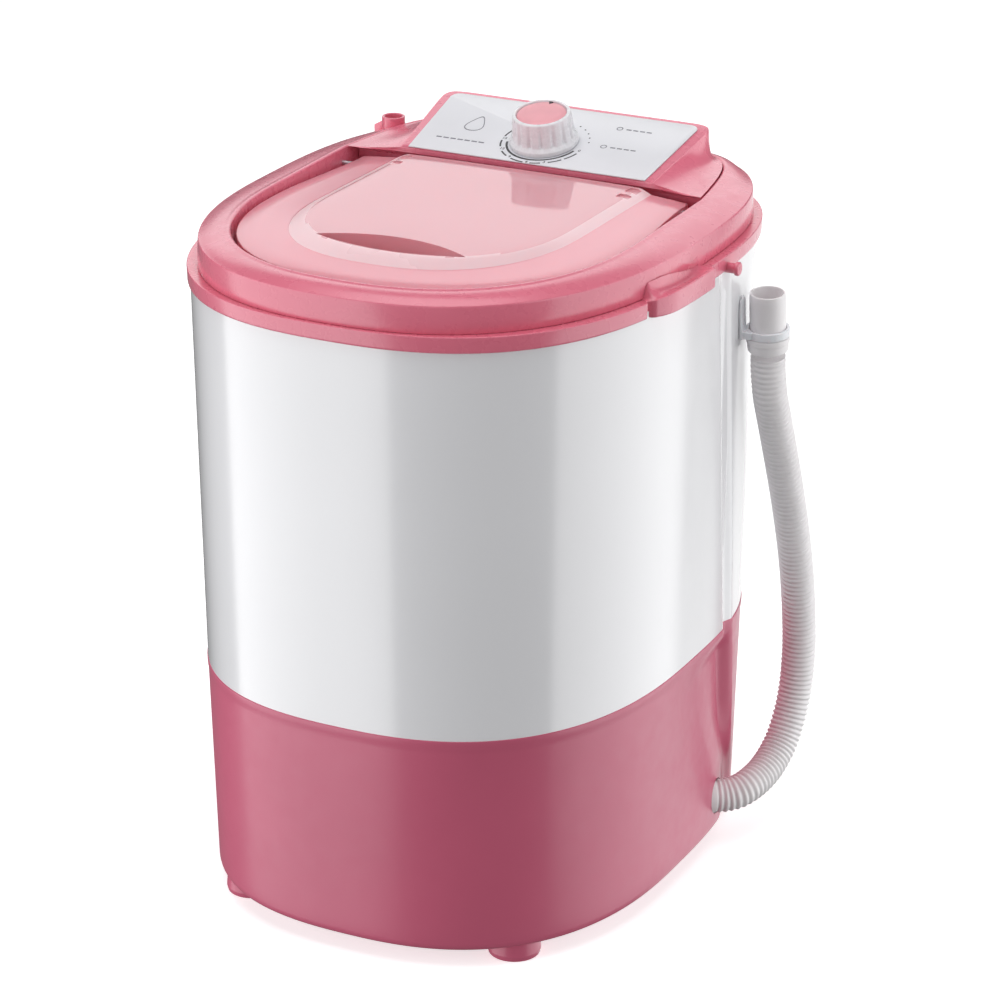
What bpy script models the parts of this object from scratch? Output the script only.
"""Single-tub mini washing machine: pulsator tub in a two-colour plastic body.

The machine stands on +Z with its feet on z = 0. Its front faces -Y, its control
panel is at +Y, and its drain hose hangs on the +X side. All lengths are metres.
"""
import math
from typing import NamedTuple

import bmesh
import bpy
from mathutils import Matrix, Vector

# ---------------------------------------------------------------- driving dimensions
GAP = 0.0003               # clearance between two solids that touch on the real machine

FOOT_HEIGHT = 0.0130             # underside of the base above the floor
BASE_TOP = 0.1857          # where the coloured base meets the white body
BODY_TOP = 0.4807          # underside of the collar
COLLAR_TOP = 0.4930        # seam between the collar and the top cover
COVER_EDGE = 0.5134        # sharp upper edge of the top cover
BASE_SHRINK = 0.977        # plan size at the foot of the base, relative to BASE_TOP
BODY_GROWTH = 1.0244       # plan size under the collar, relative to BASE_TOP
WALL = 0.0022              # moulded wall thickness

PANEL_TILT = math.radians(12.5)
PANEL_FRONT = (0.0885, 0.5244)   # y and z of the console's front top edge
PANEL_REAR_Y = 0.1813
LABEL_THICKNESS = 0.0010
KNOB_Y = 0.1215
KNOB_HEIGHT = 0.0262
KNOB_RADIUS = 0.0265
KNOB_FLUTES = 16

LID_HINGE = (0.0735, 0.5095)
LID_TILT = 0.010                 # fall of the lid per metre towards the hinge
PIN_RADIUS = 0.0020

TUB_CENTRE_Y = -0.012
TUB_FLOOR = 0.1810
TUB_LEDGE = 0.4875               # ledge of the collar that carries the tub's rim
PULSATOR_RADIUS = 0.108
BELT_Z = 0.0990
BIG_PULLEY_RADIUS = 0.066        # running radius of the belt on the driven pulley
SMALL_PULLEY_RADIUS = 0.013      # running radius of the belt on the motor pulley
MOTOR_Y = 0.1180
BELT_WIDTH = 0.0080
BELT_DEPTH = 0.0040

HOSE_RADIUS = 0.0140
NOZZLE_RADIUS = 0.0105
SPOUT_PLACE = (-0.1465, 0.1530)
SPOUT_RADIUS = 0.0090
DRAIN_PLACE = (0.0916, 0.0197)
SCOOP_DEPTH = 0.0105             # depth of the side scoop that frees the drain hose

RING_STEPS = 48                  # points round each body outline


class Outline(NamedTuple):
    """Plan outline: a superellipse whose front and rear halves differ."""
    half_width: float
    front: float
    rear: float
    front_exp: float
    rear_exp: float
    centre_y: float = 0.0


BODY = Outline(0.1795, 0.2144, 0.2123, 2.48, 3.2)
COLLAR = Outline(0.1862, 0.2290, 0.2174, 2.50, 3.15, 0.0058)
COVER = Outline(0.1787, 0.2256, 0.2150, 2.41, 3.1, 0.0058)
WELL = Outline(0.1485, 0.1682, 0.2157, 2.34, 9.0, -0.0297)
MOUTH = Outline(0.1180, 0.1180, 0.1120, 2.5, 2.8, -0.0420)
LID = Outline(0.1455, 0.1655, 0.1137, 2.34, 12.0, -0.0297)
PLATEAU = Outline(0.1080, 0.1180, 0.1050, 2.45, 14.0, -0.0297)
TUB_RIM = Outline(0.1480, 0.1560, 0.1480, 2.30, 2.4, TUB_CENTRE_Y)
TUB_FOOT = Outline(0.1300, 0.1300, 0.1300, 2.0, 2.0, TUB_CENTRE_Y)

PARTS_NAME = "mini_washing_machine"
CUTTERS_NAME = "cutters"


# ---------------------------------------------------------------- scene and materials
def clear_scene():
    for obj in list(bpy.data.objects):
        bpy.data.objects.remove(obj, do_unlink=True)


def new_collection(name):
    collection = bpy.data.collections.new(name)
    bpy.context.scene.collection.children.link(collection)
    return collection


def make_material(name, colour, roughness, metallic=0.0, alpha=1.0):
    material = bpy.data.materials.new(name)
    material.use_nodes = True
    shader = material.node_tree.nodes["Principled BSDF"]
    shader.inputs["Base Color"].default_value = (*colour, 1.0)
    shader.inputs["Roughness"].default_value = roughness
    shader.inputs["Metallic"].default_value = metallic
    shader.inputs["Alpha"].default_value = alpha
    material.diffuse_color = (*colour, alpha)
    return material


def make_materials():
    return {
        "pink": make_material("pink_plastic", (0.78, 0.24, 0.33), 0.28),
        "dark_pink": make_material("base_plastic", (0.60, 0.14, 0.23), 0.35),
        "white": make_material("white_plastic", (0.82, 0.82, 0.84), 0.22),
        "lid": make_material("tinted_lid", (0.90, 0.50, 0.52), 0.08, alpha=0.85),
        "label": make_material("panel_label", (0.88, 0.87, 0.90), 0.40),
        "knob": make_material("knob_plastic", (0.86, 0.86, 0.88), 0.30),
        "cap": make_material("knob_cap", (0.90, 0.42, 0.47), 0.40),
        "tub": make_material("tub_plastic", (0.85, 0.84, 0.84), 0.30),
        "hose": make_material("hose_plastic", (0.75, 0.73, 0.73), 0.45),
        "steel": make_material("steel", (0.55, 0.56, 0.58), 0.35, 1.0),
        "aluminium": make_material("aluminium", (0.70, 0.71, 0.73), 0.40, 1.0),
        "rubber": make_material("rubber", (0.04, 0.04, 0.04), 0.80),
        "black": make_material("black_plastic", (0.05, 0.05, 0.06), 0.45),
    }


# ---------------------------------------------------------------- building helpers
def place(obj, origin, direction=(0.0, 0.0, 1.0)):
    """Put an object's origin at a point and turn its Z axis to a direction."""
    turn = Vector((0.0, 0.0, 1.0)).rotation_difference(Vector(direction)).to_matrix()
    obj.matrix_world = Matrix.Translation(origin) @ turn.to_4x4()
    return obj


def hang_on(obj, axis):
    """Parent a piece to the empty on its joint axis without moving it."""
    obj.parent = axis
    obj.matrix_parent_inverse = Matrix.Translation(axis.location).inverted()


def finish_mesh(name, mesh_builder, material, collection):
    bmesh.ops.recalc_face_normals(mesh_builder, faces=mesh_builder.faces)
    mesh = bpy.data.meshes.new(name)
    mesh_builder.to_mesh(mesh)
    mesh_builder.free()
    obj = bpy.data.objects.new(name, mesh)
    collection.objects.link(obj)
    if material:
        mesh.materials.append(material)
    mesh.shade_smooth()
    mesh.set_sharp_from_angle(angle=math.radians(30))
    return obj


def loft(name, rings, material, closed_loop=False):
    """Skin a list of point rings. A closed loop joins the last ring to the first."""
    builder = bmesh.new()
    layers = [[builder.verts.new(point) for point in ring] for ring in rings]
    pairs = list(zip(layers, layers[1:]))
    if closed_loop:
        pairs.append((layers[-1], layers[0]))
    else:
        builder.faces.new(layers[0])
        builder.faces.new(layers[-1])
    for lower, upper in pairs:
        count = len(lower)
        for i in range(count):
            j = (i + 1) % count
            builder.faces.new((lower[i], lower[j], upper[j], upper[i]))
    return finish_mesh(name, builder, material, PARTS)


def turned(name, profile, steps, material, hollow=False):
    """Revolve a profile of (radius, height) that runs down its outer side."""
    builder = bmesh.new()
    points = [builder.verts.new((radius, 0.0, height)) for radius, height in profile]
    pairs = list(zip(points, points[1:]))
    if hollow:
        pairs.append((points[-1], points[0]))
    for first, second in pairs:
        builder.edges.new((first, second))
    mesh = bpy.data.meshes.new(name)
    builder.to_mesh(mesh)
    builder.free()
    obj = bpy.data.objects.new(name, mesh)
    PARTS.objects.link(obj)
    mesh.materials.append(material)
    screw = obj.modifiers.new("turn", "SCREW")
    screw.steps = steps
    screw.render_steps = steps
    screw.use_merge_vertices = True
    screw.merge_threshold = 0.00001
    return obj


def rod(name, radius, height, segments, material, collection=None):
    """Upright cylinder that starts at its own origin."""
    builder = bmesh.new()
    bmesh.ops.create_cone(builder, cap_ends=True, segments=segments, radius1=radius,
                          radius2=radius, depth=height)
    bmesh.ops.translate(builder, verts=builder.verts, vec=(0.0, 0.0, height / 2))
    return finish_mesh(name, builder, material, collection or PARTS)


def block(name, low, high, material, collection=None, bevel=0.0):
    builder = bmesh.new()
    bmesh.ops.create_cube(builder, size=1.0)
    size = [b - a for a, b in zip(low, high)]
    centre = [(a + b) / 2 for a, b in zip(low, high)]
    bmesh.ops.scale(builder, verts=builder.verts, vec=size)
    bmesh.ops.translate(builder, verts=builder.verts, vec=centre)
    if bevel:
        bmesh.ops.bevel(builder, geom=builder.edges, offset=bevel, segments=2,
                        affect="EDGES", profile=0.5)
    return finish_mesh(name, builder, material, collection or PARTS)


def flat_outline(name, loops, thickness, material, collection=None):
    """Extrude closed plan loops, the first outside and the others holes, to a plate."""
    curve = bpy.data.curves.new(name, "CURVE")
    curve.dimensions = "2D"
    curve.fill_mode = "BOTH"
    curve.extrude = thickness / 2
    for loop in loops:
        spline = curve.splines.new("POLY")
        spline.points.add(len(loop) - 1)
        spline.use_cyclic_u = True
        for point, (x, y) in zip(spline.points, loop):
            point.co = (x, y, 0.0, 1.0)
    return curve_to_mesh(name, curve, material, collection or PARTS)


def curve_to_mesh(name, curve, material, collection):
    """Turn a curve into a welded closed mesh object."""
    source = bpy.data.objects.new(name + "_curve", curve)
    bpy.context.scene.collection.objects.link(source)
    graph = bpy.context.evaluated_depsgraph_get()
    mesh = bpy.data.meshes.new_from_object(source.evaluated_get(graph))
    bpy.data.objects.remove(source, do_unlink=True)
    builder = bmesh.new()
    builder.from_mesh(mesh)
    bpy.data.meshes.remove(mesh)
    bmesh.ops.remove_doubles(builder, verts=builder.verts, dist=0.00001)
    return finish_mesh(name, builder, material, collection)


def tube(name, points, radius, material):
    """Solid round tube along a list of points."""
    curve = bpy.data.curves.new(name, "CURVE")
    curve.dimensions = "3D"
    curve.bevel_depth = radius
    curve.bevel_resolution = 3
    curve.use_fill_caps = True
    spline = curve.splines.new("POLY")
    spline.points.add(len(points) - 1)
    for target, point in zip(spline.points, points):
        target.co = (*point, 1.0)
    obj = bpy.data.objects.new(name, curve)
    curve.materials.append(material)
    PARTS.objects.link(obj)
    return obj


def combine(target, tool, operation="DIFFERENCE"):
    """Boolean a tool into a target. A union's tool is left as a hidden guide."""
    if tool.name not in CUTTERS.objects:
        PARTS.objects.unlink(tool)
        CUTTERS.objects.link(tool)
    tool.hide_render = True
    tool.display_type = "WIRE"
    modifier = target.modifiers.new(tool.name, "BOOLEAN")
    modifier.operation = operation
    modifier.solver = "EXACT"
    modifier.object = tool


# ---------------------------------------------------------------- plan outlines
def grown(outline, amount):
    return outline._replace(half_width=outline.half_width + amount,
                            front=outline.front + amount, rear=outline.rear + amount)


def scaled(outline, factor):
    return outline._replace(half_width=outline.half_width * factor,
                            front=outline.front * factor, rear=outline.rear * factor)


def outline_radius(outline, angle):
    c, s = abs(math.cos(angle)), abs(math.sin(angle))
    rearward = math.sin(angle) >= 0.0
    depth = outline.rear if rearward else outline.front
    power = outline.rear_exp if rearward else outline.front_exp
    return ((c / outline.half_width) ** power + (s / depth) ** power) ** (-1.0 / power)


def outline_point(outline, angle):
    radius = outline_radius(outline, angle)
    return radius * math.cos(angle), outline.centre_y + radius * math.sin(angle)


def smooth_step(value):
    value = min(1.0, max(0.0, value))
    return value * value * (3.0 - 2.0 * value)


def even_angles(count):
    return [-math.pi / 2 + 2 * math.pi * i / count for i in range(count)]


def ring(outline, height, angles, narrow=None):
    """Ring of points at a height, which may be a number or a function of y."""
    points = []
    for angle in angles:
        x, y = outline_point(outline, angle)
        if narrow:
            x *= narrow(y)
        z = height(y) if callable(height) else height
        points.append(Vector((x, y, z)))
    return points


def rear_taper(y):
    """The lid well and the lid narrow a little towards the rear."""
    return 1.0 - 0.10 * max(0.0, y - 0.078) / 0.10


def lid_taper(y):
    """The lid's sides draw in towards its hinge."""
    return 1.0 - 0.06 * smooth_step((y + 0.03) / 0.115)


def body_factor(z):
    """Plan size of the outer body at a height, relative to BASE_TOP."""
    if z <= BASE_TOP:
        share = (z - FOOT_HEIGHT) / (BASE_TOP - FOOT_HEIGHT)
        return BASE_SHRINK + (1.0 - BASE_SHRINK) * share
    return 1.0 + (BODY_GROWTH - 1.0) * (z - BASE_TOP) / (BODY_TOP - BASE_TOP)


def crest_height(y):
    """Height of the cover's inner rim, which rises towards the rear."""
    return COVER_EDGE + 0.0054 + 0.008 * (y + 0.2)


def panel_height(y):
    return PANEL_FRONT[1] + math.tan(PANEL_TILT) * (y - PANEL_FRONT[0])


def panel_normal():
    return Vector((0.0, -math.sin(PANEL_TILT), math.cos(PANEL_TILT)))


def on_panel(x, y, lift=0.0):
    return Vector((x, y, panel_height(y))) + lift * panel_normal()


# ---------------------------------------------------------------- base and feet
def clamped(value):
    return min(1.0, max(0.0, value))


def scoop_inset(x, y, z):
    """Depth of the scoop beside the drain hose: a bevel, then a facet down to a crease."""
    if x < 0.0 or z > BASE_TOP:
        return 0.0
    below = max(0.0, 0.160 - z)
    crease = 0.0887 + 0.19 * (0.1672 - z)
    bevel_start = min(-0.012 + 2.32 * below ** 1.6, crease - 0.030)
    facet_start = min(0.029 + 5.1 * below ** 1.95, crease - 0.008)
    deepest = 0.0040 + (SCOOP_DEPTH - 0.0040) * smooth_step((z - 0.040) / 0.075)
    bevel = 0.0032 * clamped((y - bevel_start) / (facet_start - bevel_start))
    facet = (deepest - 0.0032) * clamped((y - facet_start) / (crease - facet_start))
    fade = smooth_step((BASE_TOP - 0.004 - z) / 0.022)
    release = 1.0 - smooth_step((y - crease) / 0.010)
    return fade * (bevel + facet) * release


def base_ring(inset, z, angles):
    outline = scaled(BODY, body_factor(z))
    points = []
    for angle in angles:
        x, y = outline_point(outline, angle)
        radius = math.hypot(x, y) - inset - scoop_inset(x, y, z)
        points.append(Vector((radius * math.cos(angle), radius * math.sin(angle), z)))
    return points


def base_angles():
    """Even angles with a denser stretch across the scoop."""
    coarse = [a for a in even_angles(RING_STEPS) if not 0.02 < a < 0.75]
    fine = [0.02 + 0.73 * i / 14 for i in range(15)]
    return sorted(coarse + fine)


def make_base(materials):
    """Coloured base: outer skin, neck for the white body, inner skin, floor flange."""
    neck_inset = WALL + GAP
    flange_inset = 0.034
    low = FOOT_HEIGHT
    profile = [(0.0100, low), (0.0045, low + 0.0014), (0.0012, low + 0.0050),
               (0.0, low + 0.0110)]
    profile += [(0.0, z) for z in (0.055, 0.085, 0.130, BASE_TOP - 0.0020)]
    profile += [(neck_inset, BASE_TOP - 0.0020), (neck_inset, BASE_TOP + 0.0100)]
    profile += [(2 * neck_inset, BASE_TOP + 0.0100), (2 * neck_inset, BASE_TOP - 0.0060)]
    profile += [(neck_inset, z) for z in (0.130, 0.085, 0.055, low + 0.0110)]
    profile += [(0.0120, low + 0.0045), (flange_inset, low + 0.0045), (flange_inset, low)]
    angles = base_angles()
    rings = [base_ring(inset, z, angles) for inset, z in profile]
    base = loft("base_shell", rings, materials["dark_pink"], closed_loop=True)
    hole = rod("hose_way", HOSE_RADIUS + 0.0022, 0.050, 20, None, CUTTERS)
    place(hole, HOSE_EXIT - 0.022 * HOSE_OUT, HOSE_OUT)
    combine(base, hole)
    inlet = rod("power_cord_way", 0.0065, 0.030, 14, None, CUTTERS)
    place(inlet, CORD_INLET - Vector((0.0, 0.015, 0.0)), (0.0, 1.0, 0.0))
    combine(base, inlet)
    return base


def make_bottom_cover(materials):
    """Loose floor plate above the base's flange, with rows of cooling slots."""
    top = FOOT_HEIGHT + 0.0045       # upper face of the base's flange
    loop = [(x, y) for x, y, _ in base_ring(0.0180, top + 0.0010, base_angles())]
    slots = []
    for row in range(6):
        y = -0.075 + 0.020 * row
        slots.append([(-0.045, y), (-0.045, y + 0.006), (0.045, y + 0.006), (0.045, y)])
    plate = flat_outline("bottom_cover", [loop] + slots, 0.0020, materials["black"])
    return place(plate, (0.0, 0.0, top + GAP + 0.0010))


FOOT_PLACES = {
    "foot_front_left": (-0.111, -0.1495), "foot_front_right": (0.111, -0.1495),
    "foot_rear_left": (-0.118, 0.152), "foot_rear_right": (0.118, 0.152),
}


def make_feet(materials):
    """Four round feet under the base, each held by a screw from below."""
    top = FOOT_HEIGHT - GAP
    profile = [(0.0035, top), (0.0192, top), (0.0200, 0.0040), (0.0188, 0.0),
               (0.0070, 0.0), (0.0070, 0.0090), (0.0035, 0.0090)]
    screw_profile = [(0.0, 0.0290), (0.0018, 0.0275), (0.0018, 0.0087), (0.0055, 0.0087),
                     (0.0055, 0.0060), (0.0045, 0.0050), (0.0, 0.0050)]
    for name, (x, y) in FOOT_PLACES.items():
        foot = turned(name, profile, 18, materials["dark_pink"], hollow=True)
        place(foot, (x, y, 0.0))
        screw = turned(name.replace("foot", "foot_screw"), screw_profile, 10,
                       materials["steel"])
        place(screw, (x, y, 0.0))


def make_screw_ways(base, plate):
    """Clearance holes for the foot screws through the base flange and floor plate."""
    for name, (x, y) in FOOT_PLACES.items():
        way = rod(name + "_screw_way", 0.0026, 0.020, 12, None, CUTTERS)
        place(way, (x, y, FOOT_HEIGHT - 0.0020))
        combine(base, way)
        combine(plate, way)


# ---------------------------------------------------------------- white body and collar
def make_body(materials):
    """White body shell, a slightly flaring wall that is open at both ends."""
    angles = base_angles()
    low, high = BASE_TOP - 0.0017, BODY_TOP + 0.0060
    rings = [base_ring(inset, z, angles)
             for inset, z in ((0.0, low), (0.0, high), (WALL, high), (WALL, low))]
    return loft("body_shell", rings, materials["white"], closed_loop=True)


GRIP_START, GRIP_FULL, GRIP_END = -0.079, -0.052, 0.0045   # y where a side grip rises and ends
GRIP_PROUD = 0.0075


def grip_share(y):
    """1 within a side grip, 0 outside it; its front end swells out in a rounded nose."""
    rise = clamped((y - GRIP_START) / (GRIP_FULL - GRIP_START))
    return (1.0 - (1.0 - rise) ** 1.8) * (1.0 - smooth_step((y - GRIP_END) / 0.003))


def collar_angles():
    """The body's angles with extra ones where each side grip begins and ends."""
    stops = [GRIP_START, -0.0740, -0.0680, -0.0600, GRIP_FULL, -0.026, GRIP_END - 0.0005,
             GRIP_END + 0.0035]
    reach = COLLAR.half_width
    right = [math.atan2(y - COLLAR.centre_y, reach) for y in stops]
    left = [math.pi - angle for angle in right]
    extra = right + left
    coarse = [a for a in base_angles()
              if not min(right) - 0.03 < a < max(right) + 0.03
              and not min(left) - 0.03 < a < max(left) + 0.03]
    return sorted(coarse + extra)


def make_collar(materials):
    """Collar round the body's top with moulded side grips and a ledge for the tub."""
    angles = collar_angles()
    profile = [  # inset, height, then the same two for a side grip
        (0.0004, BODY_TOP, -0.0062, BODY_TOP),
        (0.0000, BODY_TOP + 0.0015, -GRIP_PROUD, BODY_TOP + 0.0015),
        (0.0000, COLLAR_TOP - 0.0025, -GRIP_PROUD, COLLAR_TOP + 0.0025),
        (0.0016, COLLAR_TOP, -0.0062, COLLAR_TOP + 0.0038),
        (0.0030, COLLAR_TOP, 0.0006, COLLAR_TOP + 0.0030),
        (0.0044, COLLAR_TOP, 0.0044, COLLAR_TOP + 0.0080),
        (0.0060, COLLAR_TOP, 0.0050, COLLAR_TOP),
    ]
    rings = []
    for inset, height, grip_inset, grip_height in profile:
        points = []
        for angle in angles:
            share = grip_share(outline_point(COLLAR, angle)[1])
            here = grown(COLLAR, -(inset + (grip_inset - inset) * share))
            x, y = outline_point(here, angle)
            points.append(Vector((x, y, height + (grip_height - height) * share)))
        rings.append(points)
    neck = grown(scaled(BODY, BODY_GROWTH), -WALL - 0.0020)
    seat = grown(scaled(BODY, BODY_GROWTH), 0.0008)
    body_end = BODY_TOP + 0.0060 + GAP
    inner = [(grown(TUB_RIM, 0.0080), COLLAR_TOP), (grown(TUB_RIM, 0.0080), TUB_LEDGE),
             (grown(TUB_RIM, 0.0030), TUB_LEDGE), (grown(TUB_RIM, 0.0030), TUB_LEDGE - 0.0030),
             (neck, TUB_LEDGE - 0.0030), (neck, body_end), (seat, body_end), (seat, BODY_TOP)]
    rings += [ring(outline, height, angles) for outline, height in inner]
    return loft("collar_frame", rings, materials["pink"], closed_loop=True)


def make_hose_peg(materials):
    """Short peg under the collar on the hose side, for looping the hose end."""
    profile = [(0.0, 0.0085), (0.0044, 0.0085), (0.0052, 0.0076), (0.0052, 0.0056),
               (0.0038, 0.0050), (0.0038, 0.0), (0.0, 0.0)]
    peg = turned("hose_peg", profile, 16, materials["pink"])
    return place(peg, (0.1864, 0.0460, 0.4830), (1.0, 0.023, 0.0))


# ---------------------------------------------------------------- top cover and console
FOOT_CORNER = math.radians(39.9)     # bearings of the console's front corners
INNER_CORNER = math.radians(42.2)
WING_CORNER = math.radians(36.6)


def rear_angles():
    """Bearings from the console's corner round to the middle of the rear."""
    return [math.radians(44.0 + 46.0 * i / 11) for i in range(12)]


def cover_angles():
    """Even angles, with the console's own bearings across the rear."""
    right = [WING_CORNER, FOOT_CORNER] + rear_angles()
    left = [math.pi - angle for angle in right[:-1]]
    front = [a for a in even_angles(RING_STEPS) if a < 0.60 or a > math.pi - 0.60]
    return sorted(front + right + left)


def make_top_cover(materials):
    """Top cover: outer band, sloping rim, lid well with its mouth over the tub."""
    angles = cover_angles()
    floor = 0.4970
    wall_out = grown(WELL, 0.0010)
    lip = grown(MOUTH, 0.0022)
    rings = [
        ring(grown(COVER, 0.0006), COLLAR_TOP + GAP, angles),
        ring(COVER, COVER_EDGE - 0.0008, angles),
        ring(grown(COVER, -0.0008), COVER_EDGE, angles),
        ring(grown(WELL, 0.0030), crest_height, angles, rear_taper),
        ring(WELL, lambda y: crest_height(y) - 0.0008, angles, rear_taper),
        ring(grown(WELL, -0.0012), floor, angles, rear_taper),
        ring(MOUTH, floor - 0.0006, angles),
        ring(MOUTH, 0.4895, angles),
        ring(lip, 0.4895, angles),
        ring(lip, floor - 0.0028, angles),
        ring(wall_out, floor - 0.0025, angles, rear_taper),
        ring(grown(WELL, 0.0022), lambda y: crest_height(y) - 0.0040, angles, rear_taper),
        ring(grown(COVER, -0.0022), COVER_EDGE - 0.0030, angles),
        ring(grown(COVER, -0.0016), COLLAR_TOP + GAP, angles),
    ]
    cover = loft("top_cover", rings, materials["pink"], closed_loop=True)
    pin_way = rod("lid_pin_way", PIN_RADIUS + 0.0003, 0.340, 16, None, CUTTERS)
    place(pin_way, (-0.170, *LID_HINGE), (1.0, 0.0, 0.0))
    combine(cover, pin_way)
    timer_way = block("timer_way", (-0.033, 0.0960, 0.4850), (0.033, 0.1500, 0.5050),
                      None, CUTTERS)
    combine(cover, timer_way)
    spout_way = rod("spout_way", SPOUT_RADIUS + GAP, 0.040, 20, None, CUTTERS)
    place(spout_way, (SPOUT_PLACE[0], SPOUT_PLACE[1], 0.4985))
    combine(cover, spout_way)
    return cover, pin_way


def console_loop(side_loop, front_loop):
    """Close a right-hand half loop with its mirror image and a front edge."""
    left = [(-x, y, z) for x, y, z in reversed(side_loop[:-1])]
    return [Vector(point) for point in side_loop + left + front_loop]


def footprint_side(corner, height, inset):
    """Right half of the console's foot: from its front corner to the rear centre."""
    points = []
    for angle in [corner] + rear_angles():
        x, y = outline_point(grown(WELL, -inset), angle)
        x *= rear_taper(y)
        points.append((x, y, height(y) if callable(height) else height))
    return points


def panel_side(inset, drop):
    """Right half of the console's top edge, from its front corner to the rear centre."""
    top = Outline(0.1115 - inset, 0.05, PANEL_REAR_Y - PANEL_FRONT[0] - inset, 10.0, 10.0,
                  PANEL_FRONT[0])
    points = []
    for i in range(13):
        x, y = outline_point(top, math.pi / 2 * i / 12)
        x *= 0.935 + 0.065 * (y - PANEL_FRONT[0]) / 0.093
        points.append((x, y, panel_height(y) - drop))
    return points


def front_edge(corner, sweep, height):
    """Points along the console's front, from left to right, between its corners."""
    points = []
    for i in range(1, 8):
        x = corner * (2 * i / 8 - 1)
        y = PANEL_FRONT[0] + sweep(abs(x))
        points.append((x, y, height))
    return points


def make_console(materials):
    """Hollow control console that fills the rear of the well, with scooped wings."""
    foot_z, under_z = 0.4970 + GAP, 0.5180
    setback = 0.0045

    def lip_sweep(x):
        return -0.0085 * max(0.0, x - 0.112) / 0.035

    foot = footprint_side(FOOT_CORNER, foot_z, 0.0020)
    under = footprint_side(FOOT_CORNER, under_z - 0.0020, 0.0012)
    crest = footprint_side(WING_CORNER, lambda y: crest_height(y) + 0.0002, 0.0004)
    top = panel_side(0.0, 0.0)
    middle = []
    for (x0, y0, z0), (x1, y1, z1) in zip(crest, top):
        middle.append((x0 + 0.60 * (x1 - x0), y0 + 0.60 * (y1 - y0), z0 + 0.30 * (z1 - z0)))
    inner_top = [(x, PANEL_FRONT[0] + 0.0030 + 0.965 * (y - PANEL_FRONT[0]), z)
                 for x, y, z in panel_side(0.0035, 0.0026)]
    inner_mid = [(x * 0.975, PANEL_FRONT[0] + 0.004 + (y - 0.08) * 0.855, z - 0.0028)
                 for x, y, z in middle]
    inner_foot = footprint_side(INNER_CORNER, foot_z, 0.0045)

    def at_foot(x):
        return setback

    def at_inner_foot(x):
        return setback + 0.0025

    front_z = PANEL_FRONT[1]
    loops = [
        console_loop(inner_top, front_edge(inner_top[0][0], lambda x: 0.0030, front_z - 0.0020)),
        console_loop(inner_mid, front_edge(inner_mid[0][0], at_inner_foot, under_z - 0.001)),
        console_loop(inner_foot, front_edge(inner_foot[0][0], at_inner_foot, foot_z)),
        console_loop(foot, front_edge(foot[0][0], at_foot, foot_z)),
        console_loop(under, front_edge(under[0][0], at_foot, under_z - 0.0020)),
        console_loop(crest, front_edge(crest[0][0], lip_sweep, under_z + 0.0022)),
        console_loop(middle, front_edge(middle[0][0], lip_sweep, front_z - 0.0018)),
        console_loop(top, front_edge(top[0][0], lambda x: 0.0, front_z)),
    ]
    console = loft("console_housing", loops, materials["pink"])
    shaft_way = rod("timer_shaft_way", 0.0060, 0.030, 16, None, CUTTERS)
    place(shaft_way, on_panel(0.0, KNOB_Y, -0.015), panel_normal())
    combine(console, shaft_way)
    return console, shaft_way


def make_label(materials, shaft_way):
    """Thin printed plate on the console's top, with a hole for the timer shaft."""
    slope = 1.0 / math.cos(PANEL_TILT)
    length = 0.0875 * slope
    half_front, half_rear, corner = 0.0990, 0.1045, 0.0065
    loop = [(-half_front, 0.0), (half_front, 0.0)]
    for side in (1, -1):
        for i in range(5):
            turn = math.pi / 2 * (i / 4 if side > 0 else 1 - i / 4)
            x = side * (half_rear - corner + corner * math.cos(turn))
            loop.append((x, length - corner + corner * math.sin(turn)))
    label = flat_outline("panel_label", [loop], LABEL_THICKNESS, materials["label"])
    foot = on_panel(0.0, PANEL_FRONT[0] - 0.0002, GAP + LABEL_THICKNESS / 2)
    label.matrix_world = Matrix.Translation(foot) @ Matrix.Rotation(PANEL_TILT, 4, "X")
    combine(label, shaft_way)
    return label


def make_timer(materials):
    """Clockwork timer under the panel, its shaft, the fluted knob and the knob's cap."""
    body = block("timer_body", (-0.0270, -0.0210, -0.0300), (0.0270, 0.0210, 0.0),
                 materials["black"], bevel=0.0020)
    place(body, on_panel(0.0, KNOB_Y, -0.0050), panel_normal())
    well = rod("timer_bearing_way", 0.0034, 0.026, 16, None, CUTTERS)
    place(well, on_panel(0.0, KNOB_Y, -0.0222), panel_normal())
    combine(body, well)
    base = on_panel(0.0, KNOB_Y, GAP + LABEL_THICKNESS + 0.0004)
    shaft = rod("timer_shaft", 0.0030, 0.0330, 16, materials["steel"])
    place(shaft, base - 0.0230 * panel_normal(), panel_normal())
    knob = make_knob(materials)
    place(knob, base, panel_normal())
    cap = turned("knob_cap", [(0.0, 0.0021), (0.0130, 0.0020), (0.0178, 0.0013),
                              (0.0190, 0.0004), (0.0190, 0.0), (0.0, 0.0)], 28,
                 materials["cap"])
    place(cap, base + (KNOB_HEIGHT - 0.0020) * panel_normal(), panel_normal())


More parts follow.
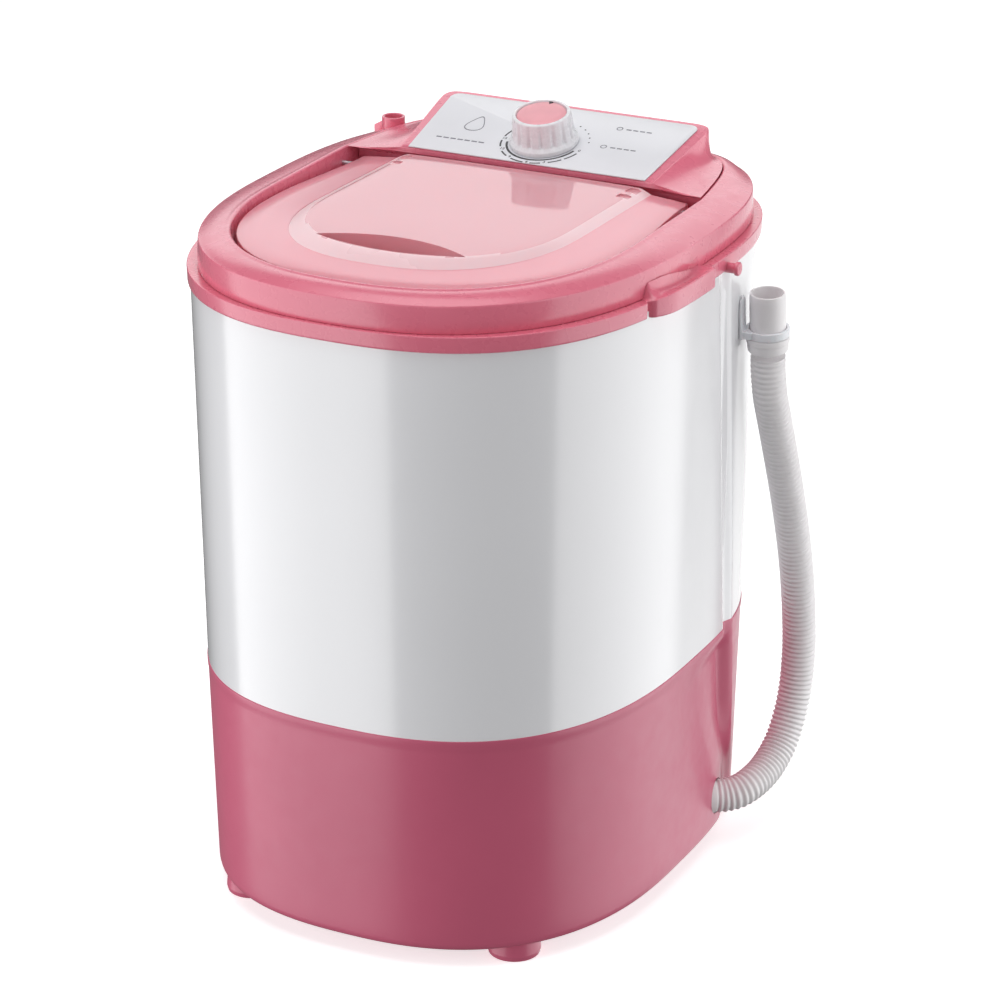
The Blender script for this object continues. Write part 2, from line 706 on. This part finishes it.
def make_knob(materials):
    """Fluted skirt with a recessed top for the cap and a blind bore for the shaft."""
    profile = [(0.0, KNOB_HEIGHT - 0.0024), (0.0194, KNOB_HEIGHT - 0.0024),
               (0.0196, KNOB_HEIGHT - 0.0004), (0.0208, KNOB_HEIGHT),
               (0.0220, KNOB_HEIGHT - 0.0012), (0.0242, 0.0052), (KNOB_RADIUS, 0.0034),
               (KNOB_RADIUS, 0.0), (0.0238, 0.0), (0.0200, KNOB_HEIGHT - 0.0060),
               (0.0060, KNOB_HEIGHT - 0.0070), (0.0058, 0.0020), (0.0033, 0.0020),
               (0.0033, 0.0120), (0.0, 0.0120)]
    steps = KNOB_FLUTES * 2
    rings = []
    for radius, height in profile[1:-1]:
        points = []
        for i in range(steps):
            angle = 2 * math.pi * i / steps
            fluted = 0.005 < height < KNOB_HEIGHT - 0.0009 and radius > 0.0215
            cut = 0.0011 if fluted and i % 2 else 0.0
            points.append(Vector(((radius - cut) * math.cos(angle),
                                  (radius - cut) * math.sin(angle), height)))
        rings.append(points)
    return loft("timer_knob", rings, materials["knob"])


def make_spout(materials):
    """Open water inlet pipe that stands through the cover's rear left corner."""
    profile = [(0.0070, 0.5268), (SPOUT_RADIUS, 0.5268), (SPOUT_RADIUS, 0.4990),
               (0.0070, 0.4990)]
    spout = turned("inlet_spout", profile, 20, materials["pink"], hollow=True)
    return place(spout, (SPOUT_PLACE[0], SPOUT_PLACE[1], 0.0))


# ---------------------------------------------------------------- lid
def lid_height(lift):
    return lambda y: 0.5165 + lift - LID_TILT * (y + 0.190)


def lens(grow):
    """Plan outline of the finger recess: two arcs that meet in points at its ends."""
    half_length, front_y, rear_y, tip_y = 0.0600 + 2 * grow, -0.139 - grow, -0.108 + grow, -0.126
    front, rear = [], []
    for i in range(13):
        x = half_length * (2 * i / 12 - 1)
        bulge = 1.0 - (x / half_length) ** 2
        front.append((x, tip_y + (front_y - tip_y) * bulge))
        rear.append((x, tip_y + (rear_y - tip_y) * bulge))
    return front + rear[-2:0:-1]


def make_lid(materials, pin_way):
    """Tinted lid: skirt, outer slope, raised middle and a lens-shaped finger recess."""
    angles = even_angles(RING_STEPS)
    middle = grown(PLATEAU, -0.0016)
    slope = grown(PLATEAU, 0.0060)
    inner = grown(LID, -0.0020)
    rings = [
        ring(middle, lid_height(0.0048), angles),
        ring(slope, lid_height(0.0), angles),
        ring(inner, lid_height(-0.0024), angles, lid_taper),
        ring(inner, lid_height(-0.0085), angles, lid_taper),
        ring(LID, lid_height(-0.0085), angles, lid_taper),
        ring(LID, lid_height(-0.0008), angles, lid_taper),
        ring(grown(LID, -0.0010), lid_height(0.0), angles, lid_taper),
        ring(slope, lid_height(0.0022), angles),
        ring(PLATEAU, lid_height(0.0066), angles),
        ring(grown(PLATEAU, -0.0300), lid_height(0.0074), angles),
    ]
    lid = loft("lid", rings, materials["lid"])
    cup = flat_outline("recess_cup", [lens(0.0020)], 0.0130, None, CUTTERS)
    place(cup, (0.0, 0.0, 0.5151))
    combine(lid, cup, "UNION")
    recess = flat_outline("finger_recess", [lens(0.0)], 0.0300, None, CUTTERS)
    place(recess, (0.0, 0.0, 0.5262))
    combine(lid, recess)
    combine(lid, pin_way)
    axis = bpy.data.objects.new("lid_hinge_axis", None)
    PARTS.objects.link(axis)
    axis.location = (0.0, *LID_HINGE)
    for side, name in ((1, "lid_pin_right"), (-1, "lid_pin_left")):
        pin = rod(name, PIN_RADIUS, 0.0220, 16, materials["steel"])
        place(pin, (side * 0.1270, *LID_HINGE), (side, 0.0, 0.0))
        hang_on(pin, axis)
    hang_on(lid, axis)
    return lid


# ---------------------------------------------------------------- tub and drive
def make_tub(materials):
    """Wash tub hung by its rim, with a hub hole and a drain hole in its floor."""
    angles = even_angles(40)
    flange = grown(TUB_RIM, 0.0076)
    hub = Outline(0.0140, 0.0140, 0.0140, 2.0, 2.0, TUB_CENTRE_Y)
    profile = [(flange, TUB_LEDGE + 0.0030), (flange, TUB_LEDGE + GAP),
               (grown(TUB_RIM, 0.0025), TUB_LEDGE + GAP),
               (grown(TUB_FOOT, 0.0025), TUB_FLOOR + 0.0220),
               (grown(TUB_FOOT, -0.0140), TUB_FLOOR - 0.0030), (hub, TUB_FLOOR - 0.0030),
               (hub, TUB_FLOOR), (grown(TUB_FOOT, -0.0180), TUB_FLOOR),
               (TUB_FOOT, TUB_FLOOR + 0.0200), (TUB_RIM, TUB_LEDGE + 0.0016),
               (grown(TUB_RIM, 0.0012), TUB_LEDGE + 0.0030)]
    rings = [ring(outline, height, angles) for outline, height in profile]
    tub = loft("wash_tub", rings, materials["tub"], closed_loop=True)
    drain = rod("drain_way", NOZZLE_RADIUS - 0.0020, 0.020, 16, None, CUTTERS)
    place(drain, (DRAIN_PLACE[0], DRAIN_PLACE[1], TUB_FLOOR - 0.0100))
    combine(tub, drain)
    return tub


def make_pulsator(materials):
    """Pulsator disc whose upper face carries four rounded ribs, and its screw."""
    steps = 32
    outer = [(0.0, 0.0120), (0.0150, 0.0120), (0.0280, 0.0090), (0.0550, 0.0065),
             (0.0850, 0.0070), (PULSATOR_RADIUS - 0.0040, 0.0090), (PULSATOR_RADIUS, 0.0080),
             (PULSATOR_RADIUS, 0.0040), (0.1000, 0.0030), (0.0200, 0.0030), (0.0120, 0.0010),
             (0.0052, 0.0010)]
    rings = []
    for radius, height in outer[1:] + [(0.0052, 0.0085), (0.0034, 0.0085)]:
        top_face = height > 0.0060 and 0.020 < radius < PULSATOR_RADIUS - 0.001
        points = []
        for i in range(steps):
            angle = 2 * math.pi * i / steps
            rib = 0.0100 * max(0.0, math.cos(4 * angle)) ** 2 if top_face else 0.0
            points.append(Vector((radius * math.cos(angle), radius * math.sin(angle),
                                  height + rib)))
        rings.append(points)
    top = [Vector((0.0034 * math.cos(2 * math.pi * i / steps),
                   0.0034 * math.sin(2 * math.pi * i / steps), 0.0120)) for i in range(steps)]
    pulsator = loft("pulsator", [top] + rings, materials["tub"], closed_loop=True)
    place(pulsator, (0.0, TUB_CENTRE_Y, TUB_FLOOR + 0.0010))
    screw = turned("pulsator_screw", [(0.0, 0.0152), (0.0050, 0.0145), (0.0060, 0.0123),
                                      (0.0020, 0.0123), (0.0020, 0.0089), (0.0, 0.0089)],
                   14, materials["steel"])
    place(screw, (0.0, TUB_CENTRE_Y, TUB_FLOOR + 0.0010))


def pulley_profile(running, bore, half):
    """Grooved pulley section about z = 0: rims outside a flat-bottomed groove."""
    floor = running - BELT_DEPTH / 2 - GAP
    rim = running + BELT_DEPTH / 2 + 0.0010
    lip = BELT_WIDTH / 2 + GAP
    return [(bore, half), (rim, half), (rim, lip + 0.0006), (floor, lip), (floor, -lip),
            (rim, -lip - 0.0006), (rim, -half), (bore, -half)]


def make_drive(materials):
    """Pulsator shaft with its bearing housing, pulleys, belt, motor and bracket."""
    axis = (0.0, TUB_CENTRE_Y, 0.0)
    bottom = BELT_Z - 0.0120
    shaft = turned("pulsator_shaft", [(0.0, TUB_FLOOR + 0.0090), (0.0048, TUB_FLOOR + 0.0088),
                                      (0.0048, bottom), (0.0, bottom)], 16, materials["steel"])
    place(shaft, axis)
    housing_top = TUB_FLOOR - 0.0030 - GAP
    housing = turned("bearing_housing", [
        (0.0078, housing_top), (0.0340, housing_top), (0.0340, housing_top - 0.0040),
        (0.0150, housing_top - 0.0080), (0.0150, 0.1125), (0.0270, 0.1125), (0.0270, 0.1108),
        (0.0078, 0.1108)], 24, materials["aluminium"], hollow=True)
    place(housing, axis)
    bush = [(0.0050, 0.0140), (0.0075, 0.0140), (0.0075, 0.0), (0.0050, 0.0)]
    for name, z in (("upper_bush", housing_top - 0.0200), ("lower_bush", 0.1120)):
        place(turned(name, bush, 16, materials["steel"], hollow=True), (0, TUB_CENTRE_Y, z))
    seal = turned("shaft_seal", [(0.0051, 0.0020), (0.0105, 0.0020), (0.0125, 0.0),
                                 (0.0125, -0.0020), (0.0051, -0.0020)], 18,
                  materials["rubber"], hollow=True)
    place(seal, (0.0, TUB_CENTRE_Y, TUB_FLOOR - 0.0008))
    big = turned("driven_pulley", pulley_profile(BIG_PULLEY_RADIUS, 0.0051, 0.0070), 30,
                 materials["aluminium"], hollow=True)
    place(big, (0.0, TUB_CENTRE_Y, BELT_Z))
    small = turned("motor_pulley", pulley_profile(SMALL_PULLEY_RADIUS, 0.0043, 0.0070), 20,
                   materials["aluminium"], hollow=True)
    place(small, (0.0, MOTOR_Y, BELT_Z))
    make_belt(materials)
    make_motor(materials)


def belt_loop(offset):
    """Plan loop round both pulleys at an offset from the belt's running line."""
    distance = MOTOR_Y - TUB_CENTRE_Y
    lean = math.asin((BIG_PULLEY_RADIUS - SMALL_PULLEY_RADIUS) / distance)
    points = []
    for i in range(25):       # round the driven pulley, through the front
        angle = math.pi - lean + (math.pi + 2 * lean) * i / 24
        radius = BIG_PULLEY_RADIUS + offset
        points.append((radius * math.cos(angle), TUB_CENTRE_Y + radius * math.sin(angle)))
    for i in range(9):        # round the motor pulley, through the rear
        angle = lean + (math.pi - 2 * lean) * i / 8
        radius = SMALL_PULLEY_RADIUS + offset
        points.append((radius * math.cos(angle), MOTOR_Y + radius * math.sin(angle)))
    return points


def make_belt(materials):
    """Drive belt: a flat loop that lies in both pulleys' grooves."""
    half = BELT_DEPTH / 2
    loops = [belt_loop(half), belt_loop(-half)]
    belt = flat_outline("drive_belt", loops, BELT_WIDTH, materials["rubber"])
    return place(belt, (0.0, 0.0, BELT_Z))


def make_motor(materials):
    """Motor on a steel bracket with four rubber mounts, and its run capacitor."""
    bracket_z = 0.1085
    outline = [(-0.030, -0.055), (0.030, -0.055), (0.052, 0.070), (0.052, 0.170),
               (-0.052, 0.170), (-0.052, 0.070)]
    shaft_hole = [(0.0130 * math.cos(a), MOTOR_Y + 0.0130 * math.sin(a))
                  for a in even_angles(20)]
    hub_hole = [(0.0180 * math.cos(a), TUB_CENTRE_Y + 0.0180 * math.sin(a))
                for a in even_angles(20)]
    bracket = flat_outline("motor_bracket", [outline, shaft_hole, hub_hole], 0.0020,
                           materials["steel"])
    place(bracket, (0.0, 0.0, bracket_z + 0.0010))
    mount_top = 0.1155
    profile = [(0.0, mount_top), (0.0055, mount_top), (0.0055, bracket_z + 0.0020 + GAP),
               (0.0, bracket_z + 0.0020 + GAP)]
    places = [(x, MOTOR_Y + y) for y in (-0.033, 0.033) for x in (-0.033, 0.033)]
    for i, (x, y) in enumerate(places):
        mount = turned("motor_mount_%d" % (i + 1), profile, 12, materials["rubber"])
        place(mount, (x, y, 0.0))
    low = mount_top + GAP
    motor = turned("motor_body", [(0.0046, 0.1650), (0.0300, 0.1650), (0.0450, 0.1600),
                                  (0.0480, 0.1560), (0.0480, low + 0.0120),
                                  (0.0520, low + 0.0100), (0.0520, low), (0.0110, low),
                                  (0.0110, low - 0.0040), (0.0046, low - 0.0040)], 28,
                   materials["steel"], hollow=True)
    place(motor, (0.0, MOTOR_Y, 0.0))
    shaft = turned("motor_shaft", [(0.0, 0.1680), (0.0040, 0.1675), (0.0040, BELT_Z - 0.0110),
                                   (0.0, BELT_Z - 0.0110)], 14, materials["steel"])
    place(shaft, (0.0, MOTOR_Y, 0.0))
    capacitor = turned("run_capacitor", [(0.0, 0.0500), (0.0150, 0.0500), (0.0160, 0.0480),
                                         (0.0160, 0.0), (0.0, 0.0)], 20, materials["white"])
    place(capacitor, (-0.100, 0.105, 0.0280))


# ---------------------------------------------------------------- drain and hose
HOSE_OUT = Vector((0.80, 0.60, 0.0))
HOSE_EXIT = Vector((0.1700, 0.0785, 0.0398))
HOSE_TOP = Vector((0.1970, 0.0990, 0.4000))
HOSE_UP = Vector((0.0, -0.0850, 1.0)).normalized()
CORD_INLET = Vector((-0.0700, 0.2060, 0.0600))

# The hose's free route, by hand: out of the scoop, up beside the body, to its hook.
HOSE_ROUTE = [
    (0.1700, 0.0785, 0.0398), (0.1780, 0.0845, 0.0398), (0.1850, 0.0912, 0.0412),
    (0.1903, 0.1005, 0.0440), (0.1943, 0.1150, 0.0478),
    (0.1968, 0.1300, 0.0543), (0.1988, 0.1432, 0.0648), (0.2003, 0.1528, 0.0790),
    (0.2014, 0.1598, 0.0950), (0.2020, 0.1640, 0.1120), (0.2024, 0.1655, 0.1300),
    (0.2026, 0.1652, 0.1480), (0.2026, 0.1630, 0.1680), (0.2025, 0.1598, 0.1880),
    (0.2023, 0.1555, 0.2090), (0.2019, 0.1498, 0.2320), (0.2014, 0.1430, 0.2550),
    (0.2008, 0.1355, 0.2780), (0.2001, 0.1275, 0.3010), (0.1994, 0.1190, 0.3240),
    (0.1986, 0.1110, 0.3460), (0.1978, 0.1034, 0.3670), (0.1971, 0.1003, 0.3850),
    (0.1970, 0.0990, 0.4000),
]


def catmull_rom(p0, p1, p2, p3, t):
    return 0.5 * ((2 * p1) + (p2 - p0) * t + (2 * p0 - 5 * p1 + 4 * p2 - p3) * t * t
                  + (3 * p1 - p0 - 3 * p2 + p3) * t ** 3)


def smooth_route(route, per_span=2):
    """Points read from a smooth curve through a route's own points."""
    knots = [Vector(point) for point in route]
    knots = [2 * knots[0] - knots[1]] + knots + [2 * knots[-1] - knots[-2]]
    points = []
    for i in range(1, len(knots) - 2):
        for step in range(per_span):
            points.append(catmull_rom(*knots[i - 1:i + 3], step / per_span))
    points.append(knots[-2])
    return points


def make_drain(materials):
    """Drain pipe from the tub's floor to the side, the free hose and its fittings."""
    corner = 0.018
    turn_x, turn_y = DRAIN_PLACE
    top = TUB_FLOOR - 0.0030 - GAP
    flow = HOSE_EXIT.z
    end = HOSE_EXIT - GAP * HOSE_OUT
    start = Vector((turn_x, turn_y, flow))
    along = (end - start).normalized()
    points = [Vector((turn_x, turn_y, top)), Vector((turn_x, turn_y, 0.120)),
              Vector((turn_x, turn_y, flow + corner))]
    for i in range(1, 6):
        angle = math.pi / 2 * i / 5
        drop = corner * math.sin(angle)
        out = corner * (1 - math.cos(angle))
        points.append(Vector((turn_x, turn_y, flow + corner - drop)) + along * out)
    points.append(end)
    tube("drain_pipe", points, NOZZLE_RADIUS, materials["hose"])
    tube("drain_hose", smooth_route(HOSE_ROUTE), HOSE_RADIUS, materials["hose"])
    make_hose_end(materials)


def make_hose_end(materials):
    """Cuff, open end pipe and the hook that hangs the hose on the body's side."""
    cuff = turned("hose_cuff", [(0.0, 0.0160), (0.0150, 0.0160), (0.0168, 0.0140),
                                (0.0168, GAP), (0.0, GAP)], 20, materials["hose"])
    place(cuff, HOSE_TOP, HOSE_UP)
    foot = 0.0160 + GAP
    pipe = turned("hose_end_pipe", [(0.0, foot + 0.0030), (0.0117, foot + 0.0040),
                                    (0.0117, foot + 0.0350), (0.0136, foot + 0.0350),
                                    (0.0136, foot), (0.0, foot)], 20, materials["hose"])
    place(pipe, HOSE_TOP, HOSE_UP)
    make_hook(materials, foot + 0.0010)


def make_hook(materials, low):
    """White hook: a ring round the end pipe and a tongue that lies along the body."""
    hook = block("hose_hook", (-0.0155, -0.0180, low), (-0.0130, -0.0070, low + 0.0340),
                 materials["white"])
    arm = block("hook_arm", (-0.0146, -0.0168, low + 0.0008), (-0.0040, -0.0082, low + 0.0061),
                None, CUTTERS)
    ring_body = rod("hook_ring", 0.0166, 0.0070, 20, None, CUTTERS)
    bore = rod("hook_bore", 0.0139, 0.0300, 20, None, CUTTERS)
    for piece, base in ((hook, 0.0), (arm, 0.0), (ring_body, low + 0.0003), (bore, low - 0.01)):
        place(piece, HOSE_TOP + base * HOSE_UP, HOSE_UP)
    combine(hook, arm, "UNION")
    combine(hook, ring_body, "UNION")
    combine(hook, bore)
    return hook


def make_gland(materials):
    """Grommet in the base's rear wall where the power cord enters."""
    profile = [(0.0035, 0.0060), (0.0085, 0.0050), (0.0095, 0.0), (0.0062, 0.0),
               (0.0062, -0.0060), (0.0035, -0.0060)]
    gland = turned("cord_gland", profile, 16, materials["rubber"], hollow=True)
    return place(gland, CORD_INLET + Vector((0.0, GAP, 0.0)), (0.0, 1.0, 0.0))


# ---------------------------------------------------------------- assembly
def build():
    materials = make_materials()
    base = make_base(materials)
    plate = make_bottom_cover(materials)
    make_feet(materials)
    make_screw_ways(base, plate)
    make_body(materials)
    make_collar(materials)
    make_hose_peg(materials)
    _, pin_way = make_top_cover(materials)
    _, shaft_way = make_console(materials)
    make_label(materials, shaft_way)
    make_timer(materials)
    make_spout(materials)
    make_lid(materials, pin_way)
    make_tub(materials)
    make_pulsator(materials)
    make_drive(materials)
    make_drain(materials)
    make_gland(materials)


clear_scene()
PARTS = new_collection(PARTS_NAME)
CUTTERS = new_collection(CUTTERS_NAME)
build()
